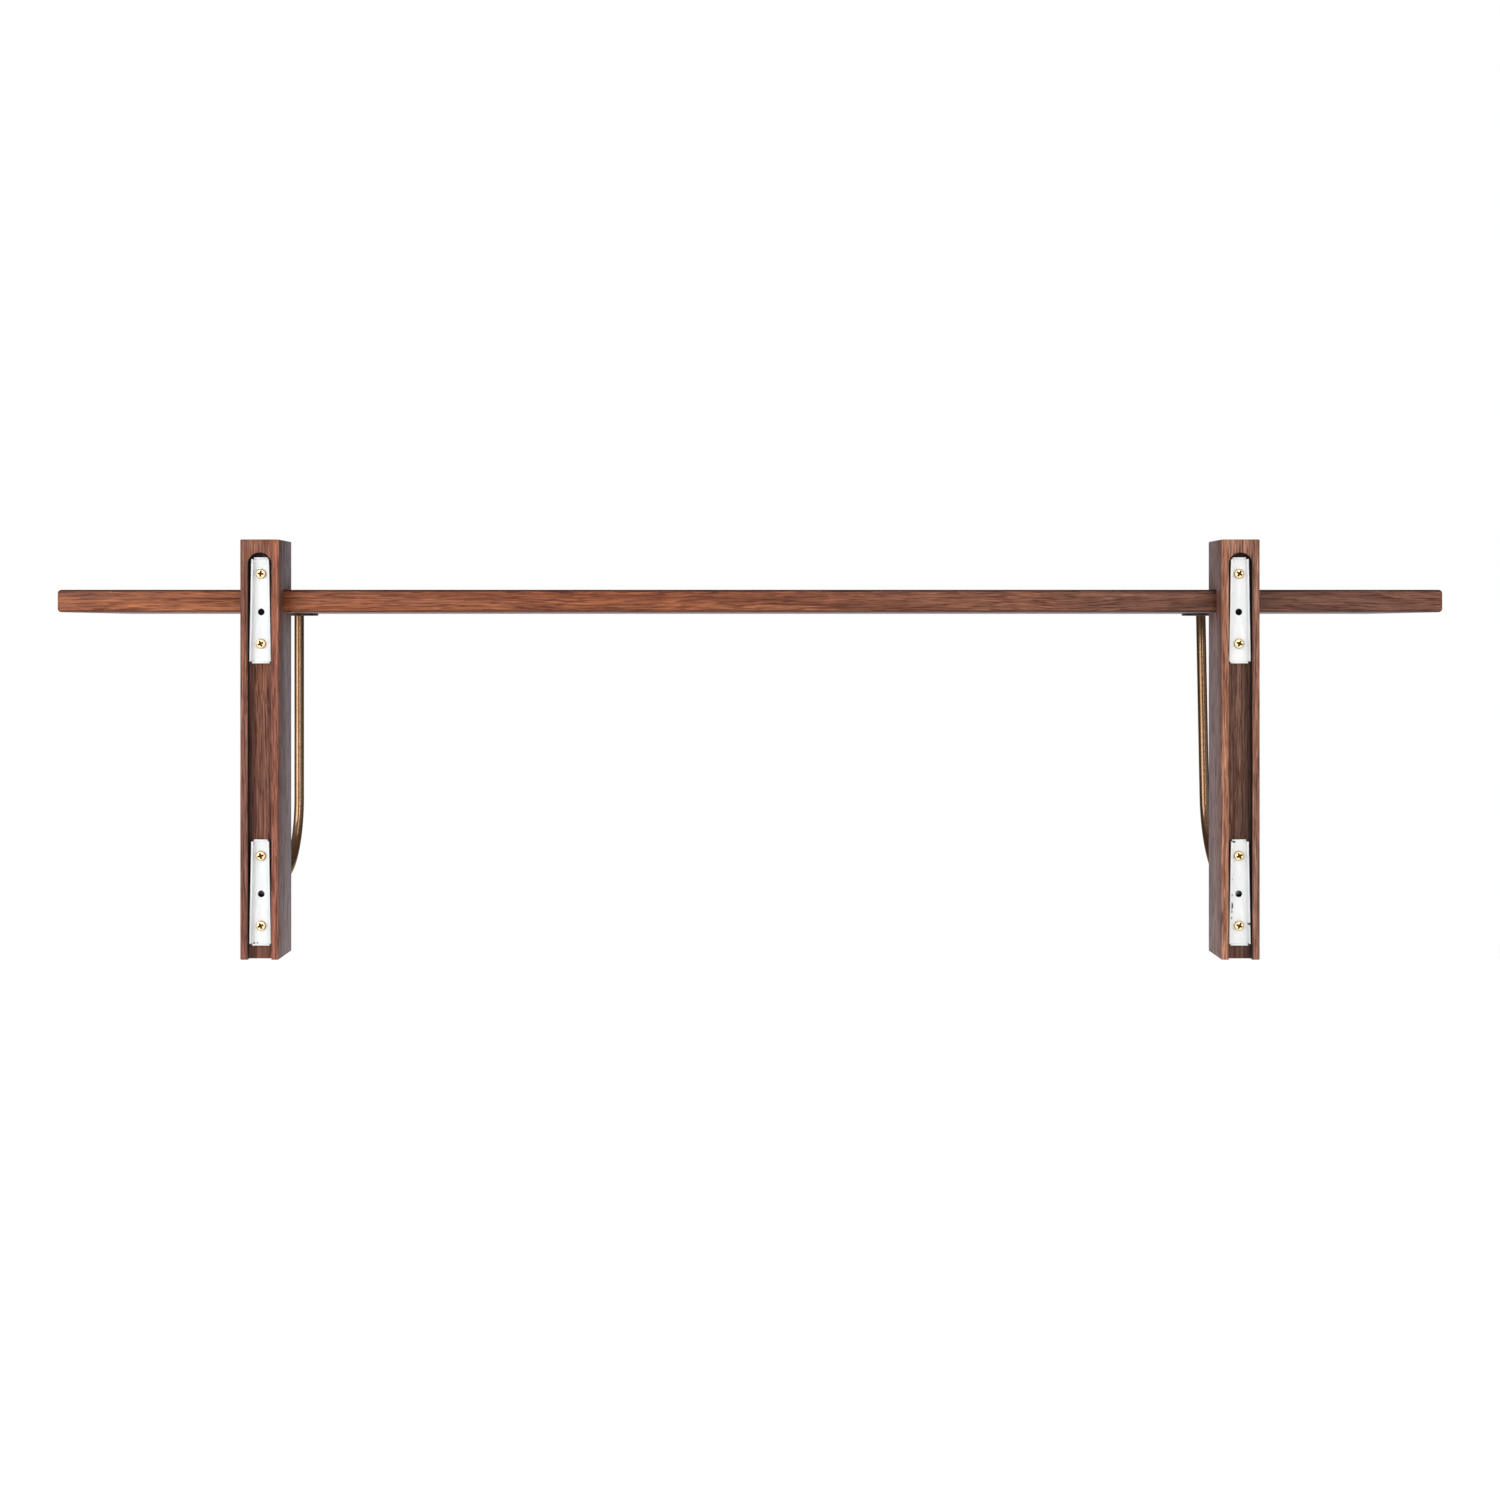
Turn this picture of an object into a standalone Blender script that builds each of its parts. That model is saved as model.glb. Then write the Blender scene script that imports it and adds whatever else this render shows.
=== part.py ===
"""Wall shelf: a walnut board housed in two walnut uprights, each with a bent rod as a prop.

X runs along the shelf. The wall is the plane Y = 0 and the shelf stands out from it towards -Y.
Z = 0 is the board's top face. Left and right are those of a person who faces the shelf.
"""

import math
from collections import namedtuple

import bmesh
import bpy
from mathutils import Matrix, Vector

GAP = 0.0003  # clearance between pieces that touch
OVERRUN = 0.001  # how far a cutter stands out of what it cuts

# Board
BOARD_LENGTH = 1.200
BOARD_DEPTH = 0.200
BOARD_THICKNESS = 0.0195
BOARD_BACK_Y = -0.019
BOARD_ROUNDING = 0.003

# Uprights
UPRIGHT_SPACING = 0.840
UPRIGHT_WIDTH = 0.033
UPRIGHT_DEPTH = 0.048
UPRIGHT_HEIGHT = 0.360
UPRIGHT_TOP_Z = 0.0427
UPRIGHT_BOTTOM_Z = UPRIGHT_TOP_Z - UPRIGHT_HEIGHT
UPRIGHT_ROUNDING = 0.0008

# Channel routed up the back of each upright: open at the bottom, half round at the top
CHANNEL_WIDTH = 0.0205
CHANNEL_DEPTH = 0.008
CHANNEL_TOP_Z = UPRIGHT_TOP_Z - 0.0111

# Hanger plates: tapered trays of bent sheet, open towards the wall
SHEET = 0.0013
HANGER_LENGTH = 0.091
HANGER_TOP_WIDTH = 0.0150
HANGER_BOTTOM_WIDTH = 0.0186
HANGER_BACK_Y = -CHANNEL_DEPTH + GAP
HANGER_FACE_Y = HANGER_BACK_Y + SHEET
HANGER_FLANGE_Y = HANGER_FACE_Y + 0.0039
HANGER_TAB_Y = HANGER_BACK_Y + 0.0030
HANGER_NOTCH = 0.0017
HANGER_TOPS = {"upper": UPRIGHT_TOP_Z - 0.0152, "lower": UPRIGHT_BOTTOM_Z + 0.1026}
HANGER_SCREW_DROPS = (0.0141, 0.0741)  # from the plate's top edge
HANGER_HOLE_DROP = 0.0469
HANGER_HOLE_RADIUS = 0.00295
# Blind hole in the channel floor behind the upper plate's centre hole
RELIEF_RADIUS = 0.0036
RELIEF_DEPTH = 0.0050

# Rods, with the angle that the upper leg leans out from the wall
ROD_RADIUS = 0.0044
ROD_LEG_Z = UPRIGHT_BOTTOM_Z + 0.061
ROD_SOCKET_DEPTH = 0.025
SOCKET_FLOOR_Y = -UPRIGHT_DEPTH + ROD_SOCKET_DEPTH
ROD_TAPPED_DEPTH = 0.013
ROD_BENDS = {"left": (0.075, math.radians(5.0)), "right": (0.065, 0.0)}

# Round flanges under the board, which the rods' tops are brazed into
FLANGE_RADIUS = 0.0175
FLANGE_THICKNESS = 0.002
FLANGE_EASING = 0.0005
FLANGE_Y = -0.1515
FLANGE_TOP_Z = -BOARD_THICKNESS - GAP
ROD_TOP_Z = FLANGE_TOP_Z - 0.0005
FLANGE_SCREW_CIRCLE = 0.0115
FLANGE_SCREWS = 3

# Fasteners
FLAT_HEAD_RIM = 0.0003
PAN_CROWN = 0.45  # radius of a pan head's flat crown over the head's
PAN_RIM = 0.30  # height of its upright rim over the head's
TIP_RADIUS = 0.25  # radius of a shank's blunt end over the shank's
CROSS_ARM = 0.25  # width of a driver cross's arms over its span
CROSS_DEPTH = 0.75  # its depth over the head's height
CROSS_TAPER = 0.45  # its span at the floor over that at the mouth
Fastener = namedtuple(
    "Fastener", "head_radius head_height shank_radius shank_length tip_length cross_span"
)


def countersunk(head_radius, shank_radius, shank_length, tip_length, cross_span):
    """A flat-headed screw with a 90 degree cone under a thin rim."""
    head_height = FLAT_HEAD_RIM + head_radius - shank_radius
    return Fastener(head_radius, head_height, shank_radius, shank_length, tip_length, cross_span)


HANGER_SCREW = Fastener(0.0042, 0.0023, 0.0020, 0.0160, tip_length=0.0040, cross_span=0.0050)
ROD_BOLT = Fastener(0.0040, 0.0027, 0.0020, 0.0225, tip_length=0.0005, cross_span=0.0046)
BOARD_SCREW = countersunk(0.0043, 0.0022, 0.0350, tip_length=0.0050, cross_span=0.0050)
FLANGE_SCREW = countersunk(0.0031, 0.0015, 0.0120, tip_length=0.0030, cross_span=0.0034)

# Washer under the rod bolt's head, in a bore that reaches behind the lower plate's centre hole
WASHER_RADIUS = 0.0070
WASHER_THICKNESS = 0.0012
BORE_RADIUS = 0.0085
BORE_DEPTH = 0.0065
BORE_FLOOR_Y = -CHANNEL_DEPTH - BORE_DEPTH
# Angle at which each hanger screw's cross came to rest, top screw first
CROSS_TURNS = {
    ("left", "upper"): (-32, -22),
    ("left", "lower"): (26, -23),
    ("right", "upper"): (-7, 24),
    ("right", "lower"): (14, 23),
}

# Fineness of round shapes
ROD_SIDES = 20
FLANGE_SIDES = 36
SCREW_SIDES = 18
HOLE_SIDES = 18
SHARP_ANGLE = math.radians(35)

FACING_WALL = (-math.pi / 2, 0, 0)  # turns a piece's own +Z to +Y
FACING_FORWARD = (math.pi / 2, 0, 0)
FACING_DOWN = (math.pi, 0, 0)

MATERIALS = {
    "walnut": ((0.23, 0.105, 0.060), 0.45, 0.0),
    "brass": ((0.62, 0.42, 0.20), 0.30, 1.0),
    "screw_brass": ((0.85, 0.62, 0.28), 0.25, 1.0),
    "dark_bronze": ((0.045, 0.030, 0.022), 0.40, 1.0),
    "white_paint": ((0.86, 0.87, 0.87), 0.35, 0.0),
    "steel": ((0.55, 0.55, 0.56), 0.30, 1.0),
}


def clear_scene():
    for obj in list(bpy.data.objects):
        bpy.data.objects.remove(obj)


def material(node, finish):
    """A Principled material of one finish for one sub-part."""
    colour, roughness, metallic = MATERIALS[finish]
    made = bpy.data.materials.new(f"{node}_{finish}")
    made.use_nodes = True
    shader = made.node_tree.nodes["Principled BSDF"]
    shader.inputs["Base Color"].default_value = (*colour, 1)
    shader.inputs["Roughness"].default_value = roughness
    shader.inputs["Metallic"].default_value = metallic
    return made


def place(name, mesh, finish, location=(0, 0, 0), rotation=(0, 0, 0), parent=None):
    """An object of its own for one sub-part. Copies share their mesh, not their material."""
    obj = bpy.data.objects.new(name, mesh)
    bpy.context.scene.collection.objects.link(obj)
    if not mesh.materials:
        mesh.materials.append(None)
    obj.material_slots[0].link = "OBJECT"
    obj.material_slots[0].material = material(name, finish)
    obj.location = location
    obj.rotation_euler = rotation
    obj.parent = parent
    return obj


def mesh_of(name, bm):
    bmesh.ops.recalc_face_normals(bm, faces=bm.faces)
    mesh = bpy.data.meshes.new(name)
    bm.to_mesh(mesh)
    bm.free()
    return mesh


def smoothed(mesh):
    """The mesh with its round faces shaded smooth and its real edges left sharp."""
    mesh.shade_smooth()
    mesh.set_sharp_from_angle(angle=SHARP_ANGLE)
    return mesh


def block(low, high, rounding=0.0, segments=1):
    """A box between two corners, with all its edges rounded alike."""
    low, high = Vector(low), Vector(high)
    bm = bmesh.new()
    bmesh.ops.create_cube(bm, size=1)
    bmesh.ops.scale(bm, vec=high - low, verts=bm.verts)
    bmesh.ops.translate(bm, vec=(low + high) / 2, verts=bm.verts)
    if rounding:
        bmesh.ops.bevel(
            bm, geom=bm.edges[:], offset=rounding, segments=segments, profile=0.5, affect="EDGES"
        )
    return bm


def turned(profile, sides, centre=(0, 0, 0), rotation=(0, 0, 0)):
    """The solid of an (r, z) profile that starts and ends on the axis, turned round Z."""
    bm = bmesh.new()
    points = [bm.verts.new((radius, 0, height)) for radius, height in profile]
    edges = [bm.edges.new(pair) for pair in zip(points, points[1:])]
    bmesh.ops.spin(
        bm,
        geom=points + edges,
        axis=(0, 0, 1),
        cent=(0, 0, 0),
        steps=sides,
        angle=2 * math.pi,
        use_merge=True,
    )
    bmesh.ops.remove_doubles(bm, verts=bm.verts, dist=1e-6)
    bmesh.ops.recalc_face_normals(bm, faces=bm.faces)
    turn = Matrix.Rotation(rotation[0], 4, "X")
    bmesh.ops.transform(bm, matrix=Matrix.Translation(centre) @ turn, verts=bm.verts)
    return bm


def drill(outline, mouth, rotation):
    """A cutter for a round hole along -Z. Its outline is (radius, depth) from the mouth down."""
    (mouth_radius, _), (next_radius, next_depth) = outline[:2]
    flare = (mouth_radius - next_radius) / next_depth * OVERRUN
    profile = [(0, OVERRUN), (mouth_radius + flare, OVERRUN)]
    profile += [(radius, -depth) for radius, depth in outline[1:]]
    profile.append((0, -outline[-1][1]))
    return turned(profile, HOLE_SIDES, mouth, rotation)


def plain_hole(radius, depth):
    return [(radius, 0), (radius, depth)]


def shank_hole(size, depth):
    return plain_hole(size.shank_radius + GAP, depth)


def countersunk_hole(size, depth):
    radius = size.shank_radius + GAP
    return [(radius + size.head_height, 0), (radius, size.head_height), (radius, depth)]


def counterbored_hole(size, depth):
    narrow = size.shank_radius + GAP
    return [(BORE_RADIUS, 0), (BORE_RADIUS, BORE_DEPTH), (narrow, BORE_DEPTH), (narrow, depth)]


def subtract(mesh, cutters):
    """The mesh with each cutter taken out of it in turn."""
    for cutter_bm in cutters:
        body = bpy.data.objects.new("body", mesh)
        cutter = bpy.data.objects.new("cutter", mesh_of("cutter", cutter_bm))
        for helper in (body, cutter):
            bpy.context.scene.collection.objects.link(helper)
        cut = body.modifiers.new("cut", "BOOLEAN")
        cut.operation = "DIFFERENCE"
        cut.solver = "EXACT"
        cut.object = cutter
        carved = bpy.data.meshes.new_from_object(
            body.evaluated_get(bpy.context.evaluated_depsgraph_get())
        )
        carved.name = mesh.name
        for helper in (body, cutter):
            bpy.data.objects.remove(helper)
        mesh = carved
    return mesh


def cross_recess(span, width, depth):
    """A cutter for a driver's cross, with its mouth at Z = 0 and arms that taper downwards."""
    arm, half = span / 2, width / 2
    corners = [(arm, -half), (arm, half), (half, half)]
    outline = [
        Matrix.Rotation(quarter * math.pi / 2, 2) @ Vector(corner)
        for quarter in range(4)
        for corner in corners
    ]
    bm = bmesh.new()
    rings = []
    for scale, z in ((1.0, OVERRUN), (1.0, 0), (CROSS_TAPER, -depth)):
        rings.append([bm.verts.new((x * scale, y * scale, z)) for x, y in outline])
    for upper, lower in zip(rings, rings[1:]):
        for index, corner in enumerate(upper):
            previous = index - 1
            bm.faces.new((upper[previous], corner, lower[index], lower[previous]))
    bm.faces.new(rings[0])
    bm.faces.new(rings[-1])
    return bm


def screw_mesh(name, size, head_profile):
    """A turned fastener with a driver's cross, with its seat at Z = 0 if pan headed and its top if flat."""
    profile = head_profile(size)
    top, end = profile[0][1], -size.shank_length
    profile.append((size.shank_radius, end + size.tip_length))
    profile += [(size.shank_radius * TIP_RADIUS, end), (0, end)]
    body = mesh_of(name, turned(profile, SCREW_SIDES))
    recess = cross_recess(size.cross_span, size.cross_span * CROSS_ARM, size.head_height * CROSS_DEPTH)
    bmesh.ops.translate(recess, vec=(0, 0, top), verts=recess.verts)
    return smoothed(subtract(body, [recess]))


def pan_head(size):
    """A domed head: a flat crown, a quarter ellipse down to a short rim, and a flat underside."""
    radius, height = size.head_radius, size.head_height
    crown, rim, steps = radius * PAN_CROWN, height * PAN_RIM, 3
    profile = [(0, height)]
    for step in range(steps + 1):
        angle = step / steps * math.pi / 2
        across = crown + (radius - crown) * math.sin(angle)
        profile.append((across, rim + (height - rim) * math.cos(angle)))
    return profile + [(radius, 0), (size.shank_radius, 0)]


def flat_head(size):
    """A countersunk head, flush at the top."""
    rim = (size.head_radius, -FLAT_HEAD_RIM)
    return [(0, 0), (size.head_radius, 0), rim, (size.shank_radius, -size.head_height)]


def upright_mesh():
    """An upright in the frame of its bracket, with its channel, housing, socket and screw holes."""
    half = UPRIGHT_WIDTH / 2
    low, high = (-half, -UPRIGHT_DEPTH, UPRIGHT_BOTTOM_Z), (half, 0, UPRIGHT_TOP_Z)
    body = block(low, high, UPRIGHT_ROUNDING, segments=2)
    housing = block(
        (-half - OVERRUN, -UPRIGHT_DEPTH - OVERRUN, -BOARD_THICKNESS - GAP),
        (half + OVERRUN, BOARD_BACK_Y + GAP, GAP),
    )
    floor_y = -CHANNEL_DEPTH
    bolt_hole = counterbored_hole(ROD_BOLT, floor_y - SOCKET_FLOOR_Y + OVERRUN)
    relief = plain_hole(RELIEF_RADIUS, RELIEF_DEPTH)
    socket = plain_hole(ROD_RADIUS + GAP, ROD_SOCKET_DEPTH)
    board_screw_hole = countersunk_hole(BOARD_SCREW, UPRIGHT_DEPTH / 2)
    cutters = [
        channel_cutter(),
        housing,
        drill(bolt_hole, (0, floor_y, ROD_LEG_Z), FACING_WALL),
        drill(socket, (0, -UPRIGHT_DEPTH, ROD_LEG_Z), FACING_FORWARD),
        drill(board_screw_hole, (0, floor_y, -BOARD_THICKNESS / 2), FACING_WALL),
        drill(relief, (0, floor_y, HANGER_TOPS["upper"] - HANGER_HOLE_DROP), FACING_WALL),
    ]
    pilot = shank_hole(HANGER_SCREW, HANGER_SCREW.shank_length)
    for top in HANGER_TOPS.values():
        for drop in HANGER_SCREW_DROPS:
            cutters.append(drill(pilot, (0, floor_y, top - drop), FACING_WALL))
    return subtract(mesh_of("upright", body), cutters)


def channel_cutter():
    """The routed channel: straight sides up to a half-round end, run out through the bottom."""
    radius, steps = CHANNEL_WIDTH / 2, 16
    centre_z = CHANNEL_TOP_Z - radius
    outline = [(radius, UPRIGHT_BOTTOM_Z - OVERRUN)]
    for step in range(steps + 1):
        angle = step / steps * math.pi
        outline.append((radius * math.cos(angle), centre_z + radius * math.sin(angle)))
    outline.append((-radius, UPRIGHT_BOTTOM_Z - OVERRUN))
    bm = bmesh.new()
    sides = [[bm.verts.new((x, y, z)) for x, z in outline] for y in (-CHANNEL_DEPTH, OVERRUN)]
    for index in range(len(outline)):
        bm.faces.new((sides[0][index - 1], sides[0][index], sides[1][index], sides[1][index - 1]))
    for side in sides:
        bm.faces.new(side)
    return bm


def board_mesh():
    """The board, with pilot holes in its back edge and its underside."""
    half = BOARD_LENGTH / 2
    low, high = (-half, BOARD_BACK_Y - BOARD_DEPTH, -BOARD_THICKNESS), (half, BOARD_BACK_Y, 0)
    body = block(low, high, BOARD_ROUNDING, segments=4)
    cutters = []
    edge_hole = shank_hole(BOARD_SCREW, CHANNEL_DEPTH + BOARD_SCREW.shank_length + BOARD_BACK_Y + OVERRUN)
    flange_hole = shank_hole(FLANGE_SCREW, FLANGE_SCREW.shank_length)
    for x in (-UPRIGHT_SPACING / 2, UPRIGHT_SPACING / 2):
        cutters.append(drill(edge_hole, (x, BOARD_BACK_Y, -BOARD_THICKNESS / 2), FACING_WALL))
        for screw_x, screw_y in flange_screw_spots():
            cutters.append(drill(flange_hole, (x + screw_x, screw_y, -BOARD_THICKNESS), FACING_DOWN))
    return subtract(mesh_of("board", body), cutters)


def flange_screw_spots():
    """Where the flange's screws stand, in the frame of a bracket. The first is nearest the wall."""
    spots = []
    for index in range(FLANGE_SCREWS):
        angle = math.pi / 2 + index * 2 * math.pi / FLANGE_SCREWS
        spots.append(
            (FLANGE_SCREW_CIRCLE * math.cos(angle), FLANGE_Y + FLANGE_SCREW_CIRCLE * math.sin(angle))
        )
    return spots


def flange_mesh():
    """A thin disc with an eased lower rim, a hole for the rod and countersunk screw holes."""
    bottom_z = FLANGE_TOP_Z - FLANGE_THICKNESS
    profile = [
        (0, FLANGE_TOP_Z),
        (FLANGE_RADIUS, FLANGE_TOP_Z),
        (FLANGE_RADIUS, bottom_z + FLANGE_EASING),
        (FLANGE_RADIUS - FLANGE_EASING, bottom_z),
        (0, bottom_z),
    ]
    disc = turned(profile, FLANGE_SIDES, (0, FLANGE_Y, 0))
    through = FLANGE_THICKNESS + OVERRUN
    cutters = [drill(plain_hole(ROD_RADIUS + 2 * GAP, through), (0, FLANGE_Y, bottom_z), FACING_DOWN)]
    for x, y in flange_screw_spots():
        cutters.append(drill(countersunk_hole(FLANGE_SCREW, through), (x, y, bottom_z), FACING_DOWN))
    return smoothed(subtract(mesh_of("flange", disc), cutters))


def rod_mesh(bend_radius, lean):
    """A round bar: level out of the upright's socket, bent upwards, then straight to the flange."""
    bend_top_z = ROD_LEG_Z + bend_radius * (1 - math.sin(lean))
    straight_rise = FLANGE_TOP_Z - FLANGE_THICKNESS / 2 - bend_top_z
    bend_start_y = FLANGE_Y + straight_rise * math.tan(lean) + bend_radius * math.cos(lean)
    sweep, steps = math.pi / 2 - lean, 14
    leg_end = Vector((0, SOCKET_FLOOR_Y - GAP, ROD_LEG_Z))
    path = [(leg_end, 0.0)]
    for step in range(steps + 1):
        angle = sweep * step / steps
        offset = Vector((0, -math.sin(angle), 1 - math.cos(angle))) * bend_radius
        path.append((Vector((0, bend_start_y, ROD_LEG_Z)) + offset, angle))
    bend_end = path[-1][0]
    rise = ROD_TOP_Z - bend_end.z
    path.append((bend_end + Vector((0, -rise * math.tan(lean), rise)), sweep))
    bm = bmesh.new()
    rings = []
    for centre, angle in path:
        ring = []
        for side in range(ROD_SIDES):
            turn = 2 * math.pi * side / ROD_SIDES
            outward = Vector((0, math.sin(angle), math.cos(angle))) * math.sin(turn)
            outward.x = math.cos(turn)
            ring.append(bm.verts.new(centre + ROD_RADIUS * outward))
        rings.append(ring)
    for first, second in zip(rings, rings[1:]):
        for side in range(ROD_SIDES):
            bm.faces.new((first[side - 1], first[side], second[side], second[side - 1]))
    bm.faces.new(rings[0])
    bm.faces.new(rings[-1])
    tapped = drill(shank_hole(ROD_BOLT, ROD_TAPPED_DEPTH), leg_end, FACING_WALL)
    return smoothed(subtract(mesh_of("rod", bm), [tapped]))


def hanger_mesh():
    """A hanger plate with its top edge at Z = 0: a web, two tall side flanges and two low end tabs.

    The sheet is laid out as a grid of cells. The corners between flanges and tabs stay empty,
    as relief notches.
    """
    top_half, bottom_half = HANGER_TOP_WIDTH / 2, HANGER_BOTTOM_WIDTH / 2
    insets = (0, SHEET, HANGER_NOTCH)
    rows = [-inset for inset in insets] + [inset - HANGER_LENGTH for inset in reversed(insets)]
    levels = (HANGER_BACK_Y, HANGER_FACE_Y, HANGER_TAB_Y, HANGER_FLANGE_Y)
    last = len(rows) - 2

    def corner(column, row, level):
        z = rows[row]
        half = top_half + (bottom_half - top_half) * -z / HANGER_LENGTH
        x = half - insets[column] if column < len(insets) else insets[last + 1 - column] - half
        return (x, levels[level], z)

    def filled(column, row, level):
        if not (0 <= column <= last and 0 <= row <= last and 0 <= level < len(levels) - 1):
            return False
        at_side, at_end = column in (0, last), row in (0, last)
        if at_side or at_end:
            clear_of_notch = 2 <= (row if at_side else column) <= last - 2
            highest = 2 if at_side else 1
            return clear_of_notch and level <= highest
        return level == 0

    bm = bmesh.new()
    corners = {}

    def vertex(*key):
        if key not in corners:
            corners[key] = bm.verts.new(corner(*key))
        return corners[key]

    # Each wall of a cell as the two axes that it spans
    spans = {0: (1, 2), 1: (2, 0), 2: (0, 1)}
    for cell in ((c, r, k) for c in range(last + 1) for r in range(last + 1) for k in range(len(levels) - 1)):
        if not filled(*cell):
            continue
        for axis, (first, second) in spans.items():
            for side in (0, 1):
                neighbour = list(cell)
                neighbour[axis] += 2 * side - 1
                if filled(*neighbour):
                    continue
                face = []
                for along, up in ((0, 0), (1, 0), (1, 1), (0, 1)):
                    key = list(cell)
                    key[axis] += side
                    key[first] += along
                    key[second] += up
                    face.append(vertex(*key))
                bm.faces.new(face)
    bmesh.ops.recalc_face_normals(bm, faces=bm.faces)
    bmesh.ops.dissolve_limit(bm, angle_limit=math.radians(1), verts=bm.verts, edges=bm.edges)
    through = SHEET + OVERRUN
    centre_hole = plain_hole(HANGER_HOLE_RADIUS, through)
    cutters = [drill(centre_hole, (0, HANGER_FACE_Y, -HANGER_HOLE_DROP), FACING_WALL)]
    for drop in HANGER_SCREW_DROPS:
        cutters.append(drill(shank_hole(HANGER_SCREW, through), (0, HANGER_FACE_Y, -drop), FACING_WALL))
    return subtract(mesh_of("hanger_plate", bm), cutters)


def washer_mesh():
    """A flat washer, with its upper face at Z = 0."""
    inner = ROD_BOLT.shank_radius + GAP
    profile = [(0, 0), (WASHER_RADIUS, 0), (WASHER_RADIUS, -WASHER_THICKNESS), (0, -WASHER_THICKNESS)]
    body = mesh_of("washer", turned(profile, FLANGE_SIDES))
    hole = drill(plain_hole(inner, WASHER_THICKNESS + OVERRUN), (0, 0, 0), (0, 0, 0))
    return smoothed(subtract(body, [hole]))


def bracket(side, x, meshes):
    """One upright with everything that is fixed to it, placed by an empty on the wall."""
    frame = bpy.data.objects.new(f"{side}_bracket", None)
    bpy.context.scene.collection.objects.link(frame)
    frame.location.x = x
    place(f"{side}_upright", meshes["upright"], "walnut", parent=frame)
    place(f"{side}_rod", rod_mesh(*ROD_BENDS[side]), "brass", parent=frame)
    washer_y = BORE_FLOOR_Y + GAP + WASHER_THICKNESS
    hardware = {
        "rod_washer": (washer_y, ROD_LEG_Z),
        "rod_bolt": (washer_y + GAP, ROD_LEG_Z),
        "board_screw": (-CHANNEL_DEPTH - GAP, -BOARD_THICKNESS / 2),
    }
    for name, (y, z) in hardware.items():
        place(f"{side}_{name}", meshes[name], "steel", (0, y, z), FACING_WALL, frame)
    place(f"{side}_rod_flange", meshes["flange"], "dark_bronze", parent=frame)
    for number, (screw_x, screw_y) in enumerate(flange_screw_spots(), start=1):
        name = f"{side}_flange_screw_{number}"
        where = (screw_x, screw_y, FLANGE_TOP_Z - FLANGE_THICKNESS + GAP / 2)
        place(name, meshes["flange_screw"], "dark_bronze", where, FACING_DOWN, frame)
    for level, top in HANGER_TOPS.items():
        place(f"{side}_{level}_hanger", meshes["hanger"], "white_paint", (0, 0, top), parent=frame)
        for drop, turn, end in zip(HANGER_SCREW_DROPS, CROSS_TURNS[side, level], ("top", "bottom")):
            name = f"{side}_{level}_hanger_screw_{end}"
            where = (0, HANGER_FACE_Y + GAP, top - drop)
            facing = (FACING_WALL[0], math.radians(turn), 0)
            place(name, meshes["hanger_screw"], "screw_brass", where, facing, frame)


def main():
    clear_scene()
    place("shelf_board", board_mesh(), "walnut")
    meshes = {
        "upright": upright_mesh(),
        "hanger": hanger_mesh(),
        "flange": flange_mesh(),
        "hanger_screw": screw_mesh("hanger_screw", HANGER_SCREW, pan_head),
        "rod_washer": washer_mesh(),
        "rod_bolt": screw_mesh("rod_bolt", ROD_BOLT, pan_head),
        "board_screw": screw_mesh("board_screw", BOARD_SCREW, flat_head),
        "flange_screw": screw_mesh("flange_screw", FLANGE_SCREW, flat_head),
    }
    for side, direction in (("left", -1), ("right", 1)):
        bracket(side, direction * UPRIGHT_SPACING / 2, meshes)


main()
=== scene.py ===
"""The looks of the wall shelf: fine meshes, procedural materials and a studio round the frame.

Metres, +Z up. X runs along the shelf, and the shelf stands out from the wall, Y = 0, towards -Y.
Left and right are those of a person who faces the shelf; the camera looks from the wall's side.
"""

import math
from collections import namedtuple

import bmesh
import bpy
from mathutils import Matrix, Vector


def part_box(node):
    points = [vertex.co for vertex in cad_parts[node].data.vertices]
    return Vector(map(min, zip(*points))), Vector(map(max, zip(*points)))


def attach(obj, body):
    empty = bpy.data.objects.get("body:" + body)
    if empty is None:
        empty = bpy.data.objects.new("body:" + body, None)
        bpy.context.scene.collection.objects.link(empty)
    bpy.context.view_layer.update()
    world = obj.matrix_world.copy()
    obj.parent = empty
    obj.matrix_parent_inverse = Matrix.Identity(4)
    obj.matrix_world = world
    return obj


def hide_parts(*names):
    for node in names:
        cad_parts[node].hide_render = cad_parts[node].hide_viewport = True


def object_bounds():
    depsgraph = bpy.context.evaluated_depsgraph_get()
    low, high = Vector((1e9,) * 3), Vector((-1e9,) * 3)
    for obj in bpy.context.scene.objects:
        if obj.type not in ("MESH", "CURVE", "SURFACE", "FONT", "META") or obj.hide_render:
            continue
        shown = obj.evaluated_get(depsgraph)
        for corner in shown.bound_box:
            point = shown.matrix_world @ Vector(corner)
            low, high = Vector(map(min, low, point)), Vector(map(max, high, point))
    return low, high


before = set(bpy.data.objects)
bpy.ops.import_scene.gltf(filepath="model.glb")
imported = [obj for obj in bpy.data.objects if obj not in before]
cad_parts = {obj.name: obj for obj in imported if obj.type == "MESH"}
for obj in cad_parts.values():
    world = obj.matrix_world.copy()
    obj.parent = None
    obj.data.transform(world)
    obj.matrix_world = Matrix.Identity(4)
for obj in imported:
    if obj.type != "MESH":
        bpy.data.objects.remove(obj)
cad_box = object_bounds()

SIDES = ("left", "right")
LEVELS = ("upper", "lower")
SHARP = math.radians(40)

# Rods: bend radius at the centreline, and how far the upper leg leans out from the wall
ROD_BENDS = {"left": (0.075, math.radians(5.0)), "right": (0.065, 0.0)}
ROD_TAPPED_RADIUS = 0.0023
ROD_TAPPED_DEPTH = 0.013
ROD_CHAMFER = 0.0004
ROD_SIDES = 48
ROD_BEND_STEPS = 40

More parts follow.
